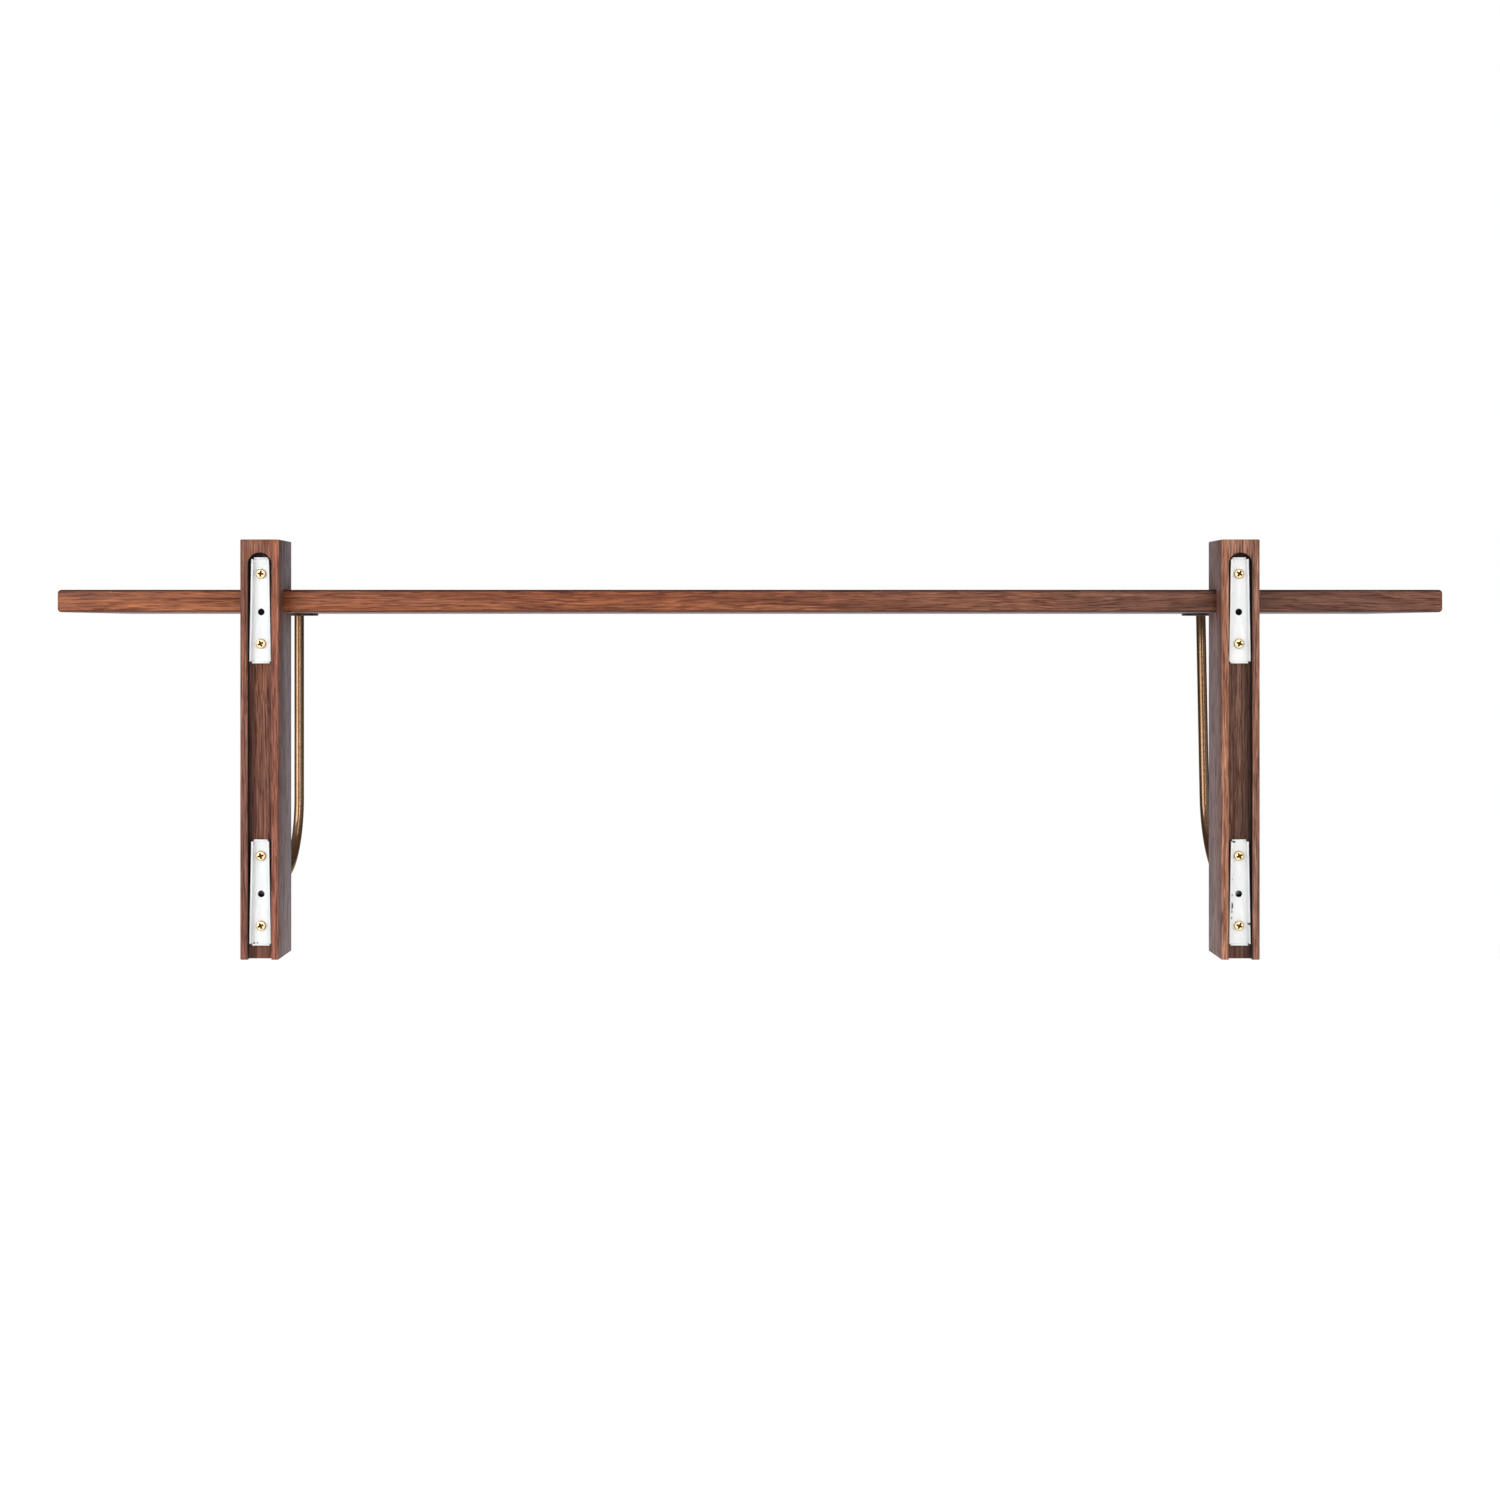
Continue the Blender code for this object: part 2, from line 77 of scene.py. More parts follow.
# Hanger plates, bent from sheet
SHEET = 0.0013
BEND_RADIUS = 0.0010  # at the middle of the sheet
BEND_STEPS = 6
HANGER_TOP_WIDTH = 0.0150
HANGER_TAB_HEIGHT = 0.0030
HANGER_NOTCH = 0.0017
HANGER_HOLE_DROP = 0.0469
HANGER_HOLE_RADIUS = 0.00295
HANGER_SCREW_DROPS = {"top": 0.0141, "bottom": 0.0741}
HANGER_SCREW_HOLE_RADIUS = 0.0023
HOLE_SIDES = 40

# How much each kind of piece's sharp edges are eased
BOARD_EASING = 0.0002
UPRIGHT_EASING = 0.0003
HANGER_EASING = 0.0002
FLANGE_EASING = 0.0002
WASHER_EASING = 0.0001

# Fasteners
Fastener = namedtuple(
    "Fastener", "head_height flat shank_radius pitch thread_depth tip_length cross_span"
)
HANGER_SCREW = Fastener(0.0023, False, 0.0020, 0.0014, 0.00045, 0.0040, 0.0057)
ROD_BOLT = Fastener(0.0027, False, 0.0020, 0.0007, 0.00030, 0.0010, 0.0046)
BOARD_SCREW = Fastener(0.0024, True, 0.0022, 0.0018, 0.00050, 0.0050, 0.0050)
FLANGE_SCREW = Fastener(0.0019, True, 0.0015, 0.0011, 0.00035, 0.0030, 0.0034)
# Angle, in degrees, at which each hanger screw's cross came to rest
CROSS_TURNS = {
    ("left", "upper"): {"top": -32, "bottom": -22},
    ("left", "lower"): {"top": 26, "bottom": -23},
    ("right", "upper"): {"top": -7, "bottom": 24},
    ("right", "lower"): {"top": 14, "bottom": 23},
}
TO_WALL = Matrix.Rotation(-math.pi / 2, 4, "X")  # turns a fastener's own +Z to +Y
TO_FLOOR = Matrix.Rotation(math.pi, 4, "X")
SCREW_SIDES = 24
THREAD_STEPS = 8  # rings of points for each turn of a thread
THREAD_RIDGE = 0.30  # how much of the pitch a thread's ridge takes on each side
DOME_STEPS = 10
RIM_START, RIM_WIDTH = 0.78, 0.12  # where a head's darker rim begins, over the head's radius

# Painted shade, painted sheen and tints on the wood
EDGE_SHADE = 0.0022  # how far in from its long edges the board takes painted shade
FLANK_SHADE = (0.0005, 0.0001)  # how far in from their sides the uprights take the painted sheen and shade of their sides
CHANNEL_END_DROP = 0.00615  # from the upper plate's top to the centre of the channel's round end
# Each pair is where a mark on the channel starts and where it is full, as Y ...
CHANNEL_MOUTH = (-0.0003, -0.0010)
CHANNEL_WALL_FOOT = (-0.0079, -0.0072)
CHANNEL_HOLE_MOUTH = (-0.0081, -0.0086)
CHANNEL_HOLE_END = (-0.0180, -0.0160)
CHEEK_FACE = (-0.0020, -0.0008)
# ... as a distance from the channel's middle line ...
CHANNEL_REACH = (0.0122, 0.0110)
CHANNEL_WALL = (0.0097, 0.0101)
CHEEK = (0.0085, 0.0115)
CHANNEL_SHADE = (0.001, 0.0100)
# ... and as a height over the upper plate's top
CHANNEL_END_FLOOR = (-0.0030, 0.0005)

# Camera and studio
CAMERA_Y = 1.712
CAMERA_Z = -0.0332
CAMERA_LENS = 48.0
CAMERA_SHIFT = -0.0813
FLOOR_DROP = 2.0
FLOOR_SIZE = 24.0
# The room's brightness from beyond the shelf's front (0) round to behind the camera (1)
ROOM_STOPS = ((0.02, 1.00), (0.06, 0.95), (0.12, 0.10), (0.40, 0.06), (0.70, 0.46), (0.98, 0.70))
BACKDROP_END = 0.10  # as far round as this, the room is a cool white backdrop
BACKDROP_TINT = (0.80, 0.88, 1.0)
ROOM_TINT = (0.92, 0.95, 1.0)
Softbox = namedtuple("Softbox", "name place target size power rays colour")
SOFTBOXES = (
    Softbox("key", (1.7, 1.8, 0.3), (0.2, 0, -0.1), (1.9, 1.8), 41, "both", (1, 1, 1)),
    Softbox("fill", (-2.2, 1.3, 0.3), (-0.2, 0, -0.1), (2.2, 1.8), 28, "diffuse", (0.98, 0.97, 1)),
    Softbox("front", (-0.85, 2.25, 0.2), (0, 0, -0.1), (0.40, 1.3), 13, "both", (1, 0.92, 0.84)),
    Softbox("strip", (-0.55, 1.5, 1.8), (0, 0, -0.1), (0.35, 3), 14, "glossy", (1, 0.94, 0.86)),
    Softbox("room", (0.5, -2.4, 1.4), (0, -0.1, -0.1), (2.4, 1.4), 22, "diffuse", (1, 1, 1)),
    Softbox("under", (0, -1.2, -1.9), (0, -0.15, -0.1), (2.4, 1.0), 12, "diffuse", (1, 1, 1)),
)


# ---------------------------------------------------------------- meshes


def mesh_of(name, bm):
    """A mesh shaded smooth over its curves, with its real edges sharp."""
    bmesh.ops.recalc_face_normals(bm, faces=bm.faces)
    mesh = bpy.data.meshes.new(name)
    bm.to_mesh(mesh)
    bm.free()
    mesh.shade_smooth()
    mesh.set_sharp_from_angle(angle=SHARP)
    return mesh


def baked(name, mesh, *modifiers):
    """The mesh after modifiers, each given as (kind, settings)."""
    helper = bpy.data.objects.new(name, mesh)
    bpy.context.scene.collection.objects.link(helper)
    for kind, settings in modifiers:
        modifier = helper.modifiers.new(kind.lower(), kind)
        for key, value in settings.items():
            setattr(modifier, key, value)
    evaluated = helper.evaluated_get(bpy.context.evaluated_depsgraph_get())
    result = bpy.data.meshes.new_from_object(evaluated)
    bpy.data.objects.remove(helper)
    result.shade_smooth()
    result.set_sharp_from_angle(angle=SHARP)
    return result


def carved(name, mesh, cutter_bm):
    """The mesh without the cutter's solid. The faces that the cutter leaves have "cut" set to 1."""
    cutter = bpy.data.objects.new("cutter", mesh_of("cutter", cutter_bm))
    cut = cutter.data.attributes.new("cut", "FLOAT", "FACE")
    cut.data.foreach_set("value", [1.0] * len(cutter.data.polygons))
    bpy.context.scene.collection.objects.link(cutter)
    result = baked(name, mesh, ("BOOLEAN", {"object": cutter, "solver": "EXACT"}))
    bpy.data.objects.remove(cutter)
    return result


def eased(name, mesh, width):
    """The mesh with its sharp edges rounded."""
    sharp_only = {"limit_method": "ANGLE", "angle_limit": SHARP}
    return baked(name, mesh, ("BEVEL", {"width": width, "segments": 2, **sharp_only}))


def circle(x, y, z, radius):
    """A ring of points round a hole that runs along Y."""
    turns = [2 * math.pi * index / HOLE_SIDES for index in range(HOLE_SIDES)]
    return [(x + radius * math.cos(turn), y, z + radius * math.sin(turn)) for turn in turns]


def loft(rings):
    """A solid through rings of points, each ring with as many points as the next."""
    bm = bmesh.new()
    made = [[bm.verts.new(point) for point in ring] for ring in rings]
    for first, second in zip(made, made[1:]):
        for index in range(len(first)):
            bm.faces.new((first[index - 1], first[index], second[index], second[index - 1]))
    bm.faces.new(made[0])
    bm.faces.new(made[-1])
    return bm


def frame_copy(node, width):
    """The node's own solid, its flat faces made whole and its sharp edges eased."""
    bm = bmesh.new()
    bm.from_mesh(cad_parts[node].data)
    bmesh.ops.remove_doubles(bm, verts=bm.verts, dist=1e-6)
    bmesh.ops.dissolve_limit(bm, angle_limit=math.radians(0.5), verts=bm.verts, edges=bm.edges)
    return eased(node, mesh_of(node, bm), width)


def rod_mesh(side):
    """The bent bar: tapped at its foot, level out of the upright, then bent up to the flange."""
    bend_radius, lean = ROD_BENDS[side]
    low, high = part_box(f"{side}_rod")
    flange_low, flange_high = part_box(f"{side}_rod_flange")
    radius = (high.x - low.x) / 2
    centre_x, leg_z = (high.x + low.x) / 2, low.z + radius
    flange_y, flange_z = (flange_low.y + flange_high.y) / 2, (flange_low.z + flange_high.z) / 2
    rise = flange_z - leg_z - bend_radius * (1 - math.sin(lean))
    bend_y = flange_y + rise * math.tan(lean) + bend_radius * math.cos(lean)

    def ring(y, z, angle, ring_radius):
        sideways, outward = Vector((1, 0, 0)), Vector((0, math.sin(angle), math.cos(angle)))
        turns = (2 * math.pi * side_index / ROD_SIDES for side_index in range(ROD_SIDES))
        centre = Vector((centre_x, y, z))
        spokes = (math.cos(turn) * sideways + math.sin(turn) * outward for turn in turns)
        return [centre + ring_radius * spoke for spoke in spokes]

    foot_y = high.y
    stations = [
        (foot_y - ROD_TAPPED_DEPTH, leg_z, 0, ROD_TAPPED_RADIUS),
        (foot_y, leg_z, 0, ROD_TAPPED_RADIUS),
        (foot_y, leg_z, 0, radius - ROD_CHAMFER),
        (foot_y - ROD_CHAMFER, leg_z, 0, radius),
    ]
    sweep = math.pi / 2 - lean
    for step in range(ROD_BEND_STEPS + 1):
        angle = sweep * step / ROD_BEND_STEPS
        y = bend_y - bend_radius * math.sin(angle)
        z = leg_z + bend_radius * (1 - math.cos(angle))
        stations.append((y, z, angle, radius))
    bend_end_y, bend_end_z = stations[-1][:2]
    # A leaning end is lowest on one side, so it stops short of the frame's top by that much
    top_z = high.z - radius * math.sin(lean)
    for short, ring_radius in ((ROD_CHAMFER, radius), (0, radius - ROD_CHAMFER)):
        up = top_z - short - bend_end_z
        stations.append((bend_end_y - up * math.tan(lean), top_z - short, sweep, ring_radius))
    mesh = mesh_of(f"{side}_rod", loft([ring(*station) for station in stations]))
    travel = mesh.attributes.new("travel", "FLOAT", "POINT")
    distances, distance, last = [], 0.0, stations[0]
    for station in stations:
        distance += math.hypot(station[0] - last[0], station[1] - last[1])
        distances += [distance] * ROD_SIDES
        last = station
    travel.data.foreach_set("value", distances)
    return mesh


def hanger_mesh(node):
    """A tapered tray: a web with two tall side flanges and two low end tabs, open towards the wall.

    The middle of the sheet is a grid of rows down the plate and columns across it, without the
    corners, which are relief notches. Each line of the grid is (inset from the plate's edge,
    height off the web).
    """
    low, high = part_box(node)
    centre_x, length = (low.x + high.x) / 2, high.z - low.z
    top_half, bottom_half = HANGER_TOP_WIDTH / 2, (high.x - low.x) / 2

    def folded(height):
        lines = [(SHEET / 2, height)]
        for step in range(BEND_STEPS + 1):
            angle = math.pi / 2 * step / BEND_STEPS
            inset = SHEET / 2 + BEND_RADIUS * (1 - math.cos(angle))
            lines.append((inset, BEND_RADIUS * (1 - math.sin(angle))))
        return lines + [(HANGER_NOTCH, 0)]

    columns = folded(high.y - low.y - SHEET / 2)
    rows = folded(HANGER_TAB_HEIGHT - SHEET / 2)
    last_column, last_row = 2 * len(columns) - 1, 2 * len(rows) - 1

    def corner(column, row):
        inset_z, rise_z = rows[min(row, last_row - row)]
        drop = inset_z if row < len(rows) else length - inset_z
        half = top_half + (bottom_half - top_half) * drop / length
        inset_x, rise_x = columns[min(column, last_column - column)]
        x = (half - inset_x) * (1 if column < len(columns) else -1)
        return (centre_x + x, low.y + SHEET / 2 + max(rise_x, rise_z), high.z - drop)

    bm = bmesh.new()
    corners = {}
    for column in range(last_column):
        for row in range(last_row):
            beside = not len(columns) - 1 <= column < len(columns)
            above = not len(rows) - 1 <= row < len(rows)
            if beside and above:
                continue
            keys = [(column, row), (column + 1, row), (column + 1, row + 1), (column, row + 1)]
            for key in keys:
                if key not in corners:
                    corners[key] = bm.verts.new(corner(*key))
            bm.faces.new([corners[key] for key in keys])
    sheet = mesh_of(node, bm)
    solid = {"thickness": SHEET, "offset": 0, "use_even_offset": True}
    plate = baked(node, sheet, ("SOLIDIFY", solid))
    holes = {HANGER_HOLE_DROP: HANGER_HOLE_RADIUS}
    holes.update({drop: HANGER_SCREW_HOLE_RADIUS for drop in HANGER_SCREW_DROPS.values()})
    for drop, radius in holes.items():
        ends = (low.y - SHEET, low.y + 2 * SHEET)
        drill = loft([circle(centre_x, y, high.z - drop, radius) for y in ends])
        plate = carved(node, plate, drill)
    return eased(node, plate, HANGER_EASING)


def head_profile(size, radius):
    """(radius, height) down a screw's head, whose top is at 0: countersunk, or a flattened dome."""
    if size.flat:
        rim = [(radius - 0.0001, 0), (radius, -0.0001), (radius, -0.0003)]
        return rim + [(size.shank_radius, -size.head_height)]
    dome = size.head_height * 0.72
    profile = []
    for step in range(1, DOME_STEPS + 1):
        angle = math.pi / 2 * step / DOME_STEPS
        across, down = math.sin(angle) ** 0.7, 1 - max(math.cos(angle), 0) ** 0.7
        profile.append((radius * across, -dome * down))
    profile += [(radius, -size.head_height + 0.0001), (radius - 0.0001, -size.head_height)]
    return profile + [(size.shank_radius, -size.head_height)]


def screw_mesh(node, size, facing, turn):
    """A screw with a driver's cross in its head and a thread cut round its shank."""
    low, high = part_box(node)
    extent, centre = high - low, (low + high) / 2
    along = 1 if facing is TO_WALL else 2
    radius, length = extent.x / 2, extent[along]
    top = centre.copy()
    top[along] = high.y if facing is TO_WALL else low.z
    profile = [(ring_radius, z, 0.0) for ring_radius, z in head_profile(size, radius)]
    thread_start = -size.head_height - size.pitch
    steps = int((length + thread_start) / size.pitch * THREAD_STEPS)
    for step in range(steps + 1):
        z = thread_start - (length + thread_start) * step / steps
        taper = min(1.0, (length + z) / size.tip_length)
        depth = size.thread_depth * min(taper, step / 4, 1)
        profile.append((size.shank_radius * max(taper, 0.2), z, depth))
    rings = []
    for ring_radius, z, depth in profile:
        ring = []
        for index in range(SCREW_SIDES):
            angle = 2 * math.pi * index / SCREW_SIDES
            phase = (z / size.pitch - index / SCREW_SIDES) % 1
            groove = min(1.0, abs(phase - 0.5) / THREAD_RIDGE)
            reach = ring_radius - depth * groove
            ring.append((reach * math.cos(angle), reach * math.sin(angle), z))
        rings.append(ring)
    mesh = carved(node, mesh_of(node, loft(rings)), cross_cutter(size, profile[0][1]))
    rim = mesh.attributes.new("rim", "FLOAT", "POINT")
    reaches = [math.hypot(vertex.co.x, vertex.co.y) / radius for vertex in mesh.vertices]
    rim.data.foreach_set("value", [min(max((r - RIM_START) / RIM_WIDTH, 0), 1) for r in reaches])
    mesh.transform(Matrix.Translation(top) @ facing @ Matrix.Rotation(math.radians(turn), 4, "Z"))
    return mesh


def cross_cutter(size, top):
    """The solid of a driver's cross: four arms that taper down to a point."""
    arm, half, fillet = size.cross_span / 2, size.cross_span / 6.5, size.cross_span / 4.6
    corners = [(arm, -half), (arm, half), (fillet, half), (half, fillet)]
    quarters = [Matrix.Rotation(quarter * math.pi / 2, 2) for quarter in range(4)]
    outline = [quarter @ Vector(corner) for quarter in quarters for corner in corners]
    deep = -size.head_height
    depths = ((1.05, 0.001), (1.0, top), (0.80, deep * 0.45), (0.45, deep * 0.9))
    return loft([[(x * scale, y * scale, z) for x, y in outline] for scale, z in depths])


# ---------------------------------------------------------------- materials


class Graph:
    """The nodes of one material. A socket takes a constant or another node's output."""

    def __init__(self, name):
        self.material = bpy.data.materials.new(name)
        self.material.use_nodes = True
        self.tree = self.material.node_tree
        self.shader = self.tree.nodes["Principled BSDF"]

    def feed(self, socket, value):
        if isinstance(value, bpy.types.NodeSocket):
            self.tree.links.new(value, socket)
        else:
            socket.default_value = value

    def add(self, kind, settings, inputs, output=0):
        node = self.tree.nodes.new(f"ShaderNode{kind}")
        for name, value in settings.items():
            setattr(node, name, value)
        for name, value in inputs.items():
            self.feed(node.inputs[name], value)
        return node.outputs[output]

    def place(self):
        return self.add("TexCoord", {}, {}, "Object")

    def attribute(self, name):
        return self.add("Attribute", {"attribute_name": name}, {}, "Fac")

    def axes(self, vector):
        node = self.add("SeparateXYZ", {}, {"Vector": vector}).node
        return list(node.outputs)

    def vector(self, x, y, z):
        return self.add("CombineXYZ", {}, {"X": x, "Y": y, "Z": z})

    def math(self, operation, first, second=0.0):
        return self.add("Math", {"operation": operation}, {0: first, 1: second})

    def both(self, first, second):
        """Where both masks are."""
        return self.math("MULTIPLY", first, second)

    def either(self, first, second):
        """Where either mask is."""
        return self.math("MAXIMUM", first, second)

    def length(self, vector):
        return self.add("VectorMath", {"operation": "LENGTH"}, {0: vector}, "Value")

    def total(self, first, *terms):
        """first + gain * value for each (value, gain)."""
        for value, gain in terms:
            first = self.add("Math", {"operation": "MULTIPLY_ADD"}, {0: value, 1: gain, 2: first})
        return first

    def noise(self, vector, scale, detail, roughness=0.55):
        stretched = self.add("Mapping", {}, {"Vector": vector, "Scale": scale})
        inputs = {"Vector": stretched, "Scale": 1.0, "Detail": detail, "Roughness": roughness}
        return self.add("TexNoise", {}, inputs)

    def step(self, value, start, end):
        """A smooth step from 0 to 1 as the value goes from start to end."""
        inputs = {"Value": value, "From Min": start, "From Max": end}
        return self.add("MapRange", {"interpolation_type": "SMOOTHSTEP"}, inputs)

    def mix(self, factor, first, second, blend="MIX"):
        settings = {"data_type": "RGBA", "blend_type": blend}
        inputs = {0: factor, 6: first, 7: second}
        for index in (6, 7):
            if not isinstance(inputs[index], bpy.types.NodeSocket):
                inputs[index] = (*inputs[index], 1)
        return self.add("Mix", settings, inputs, 2)

    def tinted(self, colour, tint, mask, strength=1.0):
        """The colour multiplied by the tint, as far as the mask and the strength say."""
        return self.mix(self.math("MULTIPLY", mask, strength), colour, tint, "MULTIPLY")

    def finish(self, colour, roughness, height, depth, strength=1.0, **constants):
        """Feeds the shader. Depth is in metres, for a height from 0 to 1."""
        self.feed(self.shader.inputs["Base Color"], colour)
        self.feed(self.shader.inputs["Roughness"], roughness)
        bump = self.add("Bump", {}, {"Strength": strength, "Distance": depth, "Height": height})
        self.feed(self.shader.inputs["Normal"], bump)
        for name, value in constants.items():
            self.shader.inputs[name.replace("_", " ")].default_value = value
        return self.material


# The wood goes from its warm colour to its cool one between two places along the grain. Slope is
# how far the pith drifts across the piece for each metre. Routed and pale are tints. The flank tint
# is painted sheen and shade on an upright's sides.
Walnut = namedtuple("Walnut", "seed slope warm cool warm_at cool_at routed pale flank")


def walnut(name, grain, look, low, high, channel=None):
    """Lacquered open-pored walnut. Grain is the axis the fibres run along, as an index.

    Channel is (Z of its round end's centre, Z of the plate's top) for an upright.
    """
    graph = Graph(name)
    axes = graph.axes(graph.place())
    colour, fibres, pores = walnut_grain(graph, axes, grain, look)
    roughness = graph.total(0.42, (pores, 0.22), (fibres, 0.10))
    height = graph.total(0.6, (fibres, 0.18), (pores, -0.5))
    if channel is None:
        colour = painted_edge_shade(graph, axes, colour, low, high)
    else:
        colour = painted_flank_sheen(graph, axes, colour, look, low, high)
        colour, routed = routed_channel(graph, axes, colour, look, (low.x + high.x) / 2, *channel)
        roughness = graph.total(roughness, (routed, 0.2))
    return graph.finish(colour, roughness, height, 0.00008, 0.45, Specular_IOR_Level=0.28)


def walnut_grain(graph, axes, grain, look):
    """The colour of the wood, with the masks of its fibres and of its pores."""
    along = axes[grain]
    across, depth = (axes[2], axes[1]) if grain == 0 else (axes[0], axes[1])
    seeded = graph.total(along, (1.0, look.seed))
    rough_place = graph.vector(seeded, across, depth)
    wander = graph.math("SUBTRACT", graph.noise(rough_place, (3.5, 16, 16), 2), 0.5)
    waves = graph.math("SUBTRACT", graph.noise(rough_place, (16, 60, 60), 1), 0.5)
    across = graph.total(across, (wander, 0.012), (waves, 0.0018))
    depth = graph.total(depth, (wander, 0.010))
    fine = graph.vector(seeded, across, depth)
    # Growth rings round a pith that lies outside the piece
    pith_across = graph.total(across, (1.0, 0.045), (along, look.slope))
    pith = graph.vector(pith_across, graph.total(depth, (1.0, 0.11)), 0.0)
    ring_radius = graph.length(pith)
    ring_place = graph.vector(ring_radius, seeded, 0.0)
    rings = graph.step(graph.noise(ring_place, (360, 2.0, 1), 3, 0.6), 0.42, 0.62)
    patches = graph.step(graph.noise(fine, (9, 90, 80), 2), 0.44, 0.62)
    fibres = graph.step(graph.noise(fine, (16, 760, 760), 3, 0.75), 0.37, 0.61)
    pores = graph.step(graph.noise(fine, (48, 1050, 1050), 1, 0.5), 0.555, 0.62)
    flecks = graph.step(graph.noise(fine, (45, 950, 950), 1, 0.5), 0.56, 0.64)
    cool = graph.step(graph.total(along, (wander, 0.25)), look.warm_at, look.cool_at)
    colour = graph.mix(cool, look.warm, look.cool)
    colour = graph.tinted(colour, (1.45, 1.45, 1.45), patches, 0.5)
    colour = graph.tinted(colour, (0.58, 0.42, 0.34), rings, 0.75)
    streaks = graph.mix(fibres, (0.62, 0.50, 0.40), (1.40, 1.58, 1.80))
    colour = graph.mix(1.0, colour, streaks, "MULTIPLY")
    colour = graph.tinted(colour, (1.7, 1.95, 2.2), flecks, 0.5)
    colour = graph.tinted(colour, (0.32, 0.20, 0.14), pores, 0.75)
    return colour, fibres, pores


def painted_edge_shade(graph, axes, colour, low, high):
    """The board's colour, with painted shade darkening it along its long rounded edges."""
    off_middle = graph.math("SUBTRACT", axes[2], (low.z + high.z) / 2)
    half = (high.z - low.z) / 2
    # Painted shade: the board darker towards its long rounded edges
    edge_shade_mask = graph.step(graph.math("ABSOLUTE", off_middle), half - EDGE_SHADE, half - EDGE_SHADE / 3)
    return graph.tinted(colour, (0.32, 0.25, 0.25), edge_shade_mask, 0.85)


def painted_flank_sheen(graph, axes, colour, look, low, high):
    """An upright's colour, with a painted sheen and shade on its two sides."""
    off_middle = graph.math("SUBTRACT", axes[0], (low.x + high.x) / 2)
    edges = ((high.x - low.x) / 2 - inset for inset in FLANK_SHADE)
    # Painted sheen and shade on the sides, tinted grey-blue or darker
    return graph.tinted(colour, look.flank, graph.step(graph.math("ABSOLUTE", off_middle), *edges))


def routed_channel(graph, axes, colour, look, middle_x, end_z, plate_z):
    """An upright's colour with the channel's, and the mask of the channel.

    One cheek beside the channel is paler. The channel is tinted, with a painted shadow that darkens
    it towards the other cheek, and painted shade, near black, on its walls, in its holes and on the
    floor above the upper plate.
    """
    off_x = graph.math("SUBTRACT", axes[0], middle_x)
    off_z = graph.math("MAXIMUM", graph.math("SUBTRACT", axes[2], end_z), 0.0)
    off_line = graph.length(graph.vector(off_x, off_z, 0.0))
    pale_side, pale_tint = look.pale
    inside = graph.both(graph.step(axes[1], *CHANNEL_MOUTH), graph.step(axes[1], *CHANNEL_HOLE_END))
    routed = graph.both(graph.step(off_line, *CHANNEL_REACH), inside)
    walls = graph.both(graph.step(off_line, *CHANNEL_WALL), graph.step(axes[1], *CHANNEL_WALL_FOOT))
    end_floor = graph.step(axes[2], *(plate_z + rise for rise in CHANNEL_END_FLOOR))
    holes = graph.step(axes[1], *CHANNEL_HOLE_MOUTH)
    # Painted shade where the channel lies deep: its walls, its holes and the floor above the plate
    recess_shade = graph.both(routed, graph.either(graph.either(walls, end_floor), holes))
    cheek = graph.step(graph.math("MULTIPLY", off_x, pale_side), *CHEEK)
    colour = graph.tinted(colour, pale_tint, graph.both(cheek, graph.step(axes[1], *CHEEK_FACE)))
    colour = graph.tinted(colour, look.routed, routed)
    # A painted shadow across the channel floor, darkest towards the cheek that is not pale
    shaded = graph.step(graph.math("MULTIPLY", off_x, -pale_side), *CHANNEL_SHADE)
    colour = graph.tinted(colour, (0.50, 0.45, 0.44), graph.both(routed, shaded))
    # The painted shade in the channel's recesses, near black
    return graph.mix(graph.math("MULTIPLY", recess_shade, 0.93), colour, (0.008, 0.005, 0.004)), routed


def antique_brass(name):
    """Brass browned with age, with brush marks round the bar."""
    graph = Graph(name)
    place, travel = graph.place(), graph.attribute("travel")
    line = graph.vector(travel, 0.0, 0.0)
    brushed = graph.noise(line, (1300, 1, 1), 2, 0.7)
    bands = graph.noise(line, (260, 1, 1), 3, 0.6)
    cloud = graph.noise(place, (40, 40, 9), 2, 0.5)
    worn = graph.step(graph.total(cloud, (bands, 0.5), (brushed, 0.5)), 0.70, 1.30)
    colour = graph.mix(worn, (0.175, 0.098, 0.052), (0.300, 0.185, 0.110))
    roughness = graph.total(0.12, (brushed, 0.09), (cloud, 0.03))
    height = graph.total(0.5, (brushed, 0.5))
    shine = {"Metallic": 0.8, "Specular_Tint": (0.55, 0.42, 0.33, 1)}
    return graph.finish(colour, roughness, height, 0.000006, **shine)


# The colour in a screw's cross is partly patina, partly painted shade in the recess
Metal = namedtuple("Metal", "colour tarnish edge soot roughness metallic")


def plain_metal(name, look):
    """A metal with cloudy tarnish, scratches and specks. Screws have a rim and a dark cross, its
    darkness partly patina and partly painted shade.
    """
    graph = Graph(name)
    place = graph.place()
    cloud = graph.noise(place, (260, 260, 260), 3)
    scratches = graph.noise(place, (400, 9000, 2500), 2)
    specks = graph.step(graph.noise(place, (2200, 2200, 2200), 1), 0.64, 0.72)
    worn = graph.step(cloud, 0.45, 0.72)
    colour = graph.mix(worn, look.colour, look.tarnish)
    colour = graph.mix(graph.math("MULTIPLY", specks, 0.6), colour, look.tarnish)
    colour = graph.mix(graph.math("MULTIPLY", graph.attribute("rim"), 0.85), colour, look.edge)
    cut = graph.attribute("cut")
    # The driver's cross: partly patina, partly painted shade in its recess
    colour = graph.mix(graph.math("MULTIPLY", cut, 0.96), colour, look.soot)
    roughness = graph.total(look.roughness, (scratches, 0.10), (cloud, 0.10), (cut, 0.5))
    height = graph.total(0.5, (scratches, 0.35), (specks, -0.3))
    return graph.finish(colour, roughness, height, 0.00001, Metallic=look.metallic)


